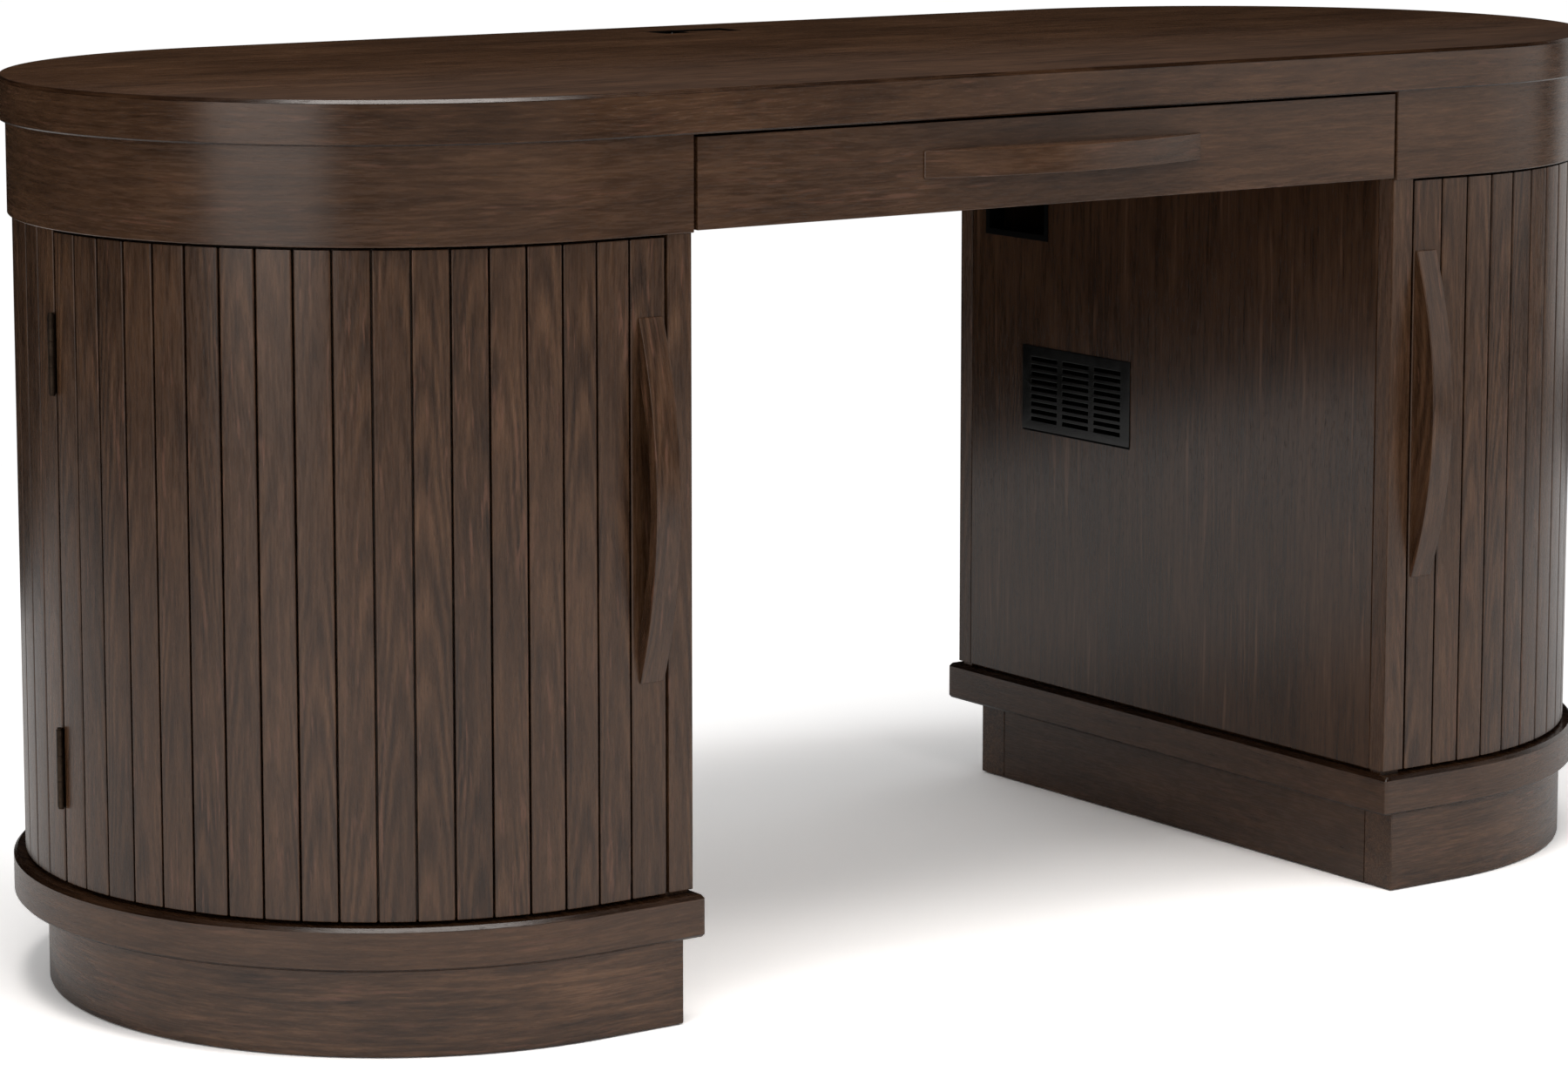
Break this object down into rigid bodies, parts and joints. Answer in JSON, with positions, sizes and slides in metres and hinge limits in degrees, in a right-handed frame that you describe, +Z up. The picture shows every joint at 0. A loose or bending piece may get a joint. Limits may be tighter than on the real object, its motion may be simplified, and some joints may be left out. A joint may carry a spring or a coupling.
{
  "type": "office desk",
  "caption": "Oval pedestal desk with a kneehole, a shallow centre drawer, curved stave-clad doors with bowed wooden handles, and a cable port in the top.",
  "frame": {"origin": "on the floor, under the middle of the bounding box", "axes": "+Z up, +X along the length to the sitter's right, -Y towards the sitter"},
  "size_m": [1.5816, 0.6716, 0.762],
  "materials": {
    "dark_wood_top": "dark espresso stain, satin lacquer, grain along the length",
    "dark_wood_band": "dark espresso stain, satin lacquer, grain along the band",
    "dark_wood_stave": "dark espresso stain, satin lacquer, vertical grain",
    "dark_wood_panel": "dark espresso stained veneer, satin lacquer, vertical grain",
    "cabinet_inside": "dark stained board, low sheen",
    "drawer_box_wood": "stained plywood, low sheen",
    "black_plastic": "satin moulded black",
    "dark_bronze": "oil-rubbed dark bronze",
    "zinc_steel": "zinc plated",
    "brass_insert": "machined",
    "nylon": "moulded"
  },
  "bodies": {
    "carcass": {"desk_top": "dark_wood_top", "left_apron_band": "dark_wood_band", "right_apron_band": "dark_wood_band", "back_apron_rail": "dark_wood_band", "left_base_slab": "dark_wood_band", "right_base_slab": "dark_wood_band", "left_plinth_band": "dark_wood_band", "right_plinth_band": "dark_wood_band", "plinth_rails": "dark_wood_band", "left_back_staves": "dark_wood_stave", "right_back_staves": "dark_wood_stave", "left_front_stile": "dark_wood_stave", "right_front_stile": "dark_wood_stave", "left_back_stile": "dark_wood_stave", "right_back_stile": "dark_wood_stave", "left_inner_panel": "dark_wood_panel", "right_inner_panel": "dark_wood_panel", "left_back_core": "cabinet_inside", "right_back_core": "cabinet_inside", "left_cabinet_top": "cabinet_inside", "right_cabinet_top": "cabinet_inside", "shelves": "cabinet_inside", "door_stops": "cabinet_inside", "drawer_rails": "cabinet_inside", "corner_blocks": "cabinet_inside", "vent_grilles": "black_plastic", "cable_hole_liners": "black_plastic", "port_liner": "black_plastic", "door_catches": "black_plastic", "hinge_carcass_leaves": "dark_bronze", "hinge_pins": "dark_bronze", "slide_outer_members": "zinc_steel", "top_bolts": "zinc_steel", "hinge_carcass_screws": "zinc_steel", "shelf_pins": "zinc_steel", "port_lid_pin": "zinc_steel", "top_inserts": "brass_insert", "floor_glides": "nylon"},
    "drawer": {"drawer_front": "dark_wood_band", "drawer_sides": "drawer_box_wood", "drawer_back": "drawer_box_wood", "drawer_bottom": "drawer_box_wood", "drawer_pull": "dark_wood_band", "drawer_pull_screws": "zinc_steel", "slide_inner_members": "zinc_steel"},
    "slide_mid": {"slide_mid_members": "zinc_steel"},
    "port_lid": {"port_lid": "dark_wood_band"},
    "left_door": {"left_door_core": "cabinet_inside", "left_door_staves": "dark_wood_stave", "left_door_handle": "dark_wood_stave", "left_strike_plate": "zinc_steel", "left_hinge_leaves": "dark_bronze", "left_door_screws": "zinc_steel"},
    "right_door": {"right_door_core": "cabinet_inside", "right_door_staves": "dark_wood_stave", "right_door_handle": "dark_wood_stave", "right_strike_plate": "zinc_steel", "right_hinge_leaves": "dark_bronze", "right_door_screws": "zinc_steel"}
  },
  "joints": [
    {"name": "drawer_slide", "type": "slide", "parent": "carcass", "child": "drawer", "axis": [0, -1, 0], "range_m": [0, 0.33]},
    {"name": "slide_mid_travel", "type": "slide", "parent": "carcass", "child": "slide_mid", "axis": [0, -1, 0], "range_m": [0, 0.165]},
    {"name": "left_door_hinge", "type": "hinge", "parent": "carcass", "child": "left_door", "pos_m": [-0.783, 0.00975, 0.376], "axis": [0, 0, -1], "range_deg": [0, 120]},
    {"name": "right_door_hinge", "type": "hinge", "parent": "carcass", "child": "right_door", "pos_m": [0.783, 0.00975, 0.376], "axis": [0, 0, 1], "range_deg": [0, 120]},
    {"name": "port_lid_hinge", "type": "hinge", "parent": "carcass", "child": "port_lid", "pos_m": [0.022, 0.26985, 0.7595], "axis": [-1, 0, 0], "range_deg": [0, 95]}
  ],
  "couplings": [
    {"joint": "slide_mid_travel", "follows": "drawer_slide", "ratio": 0.5}
  ]
}
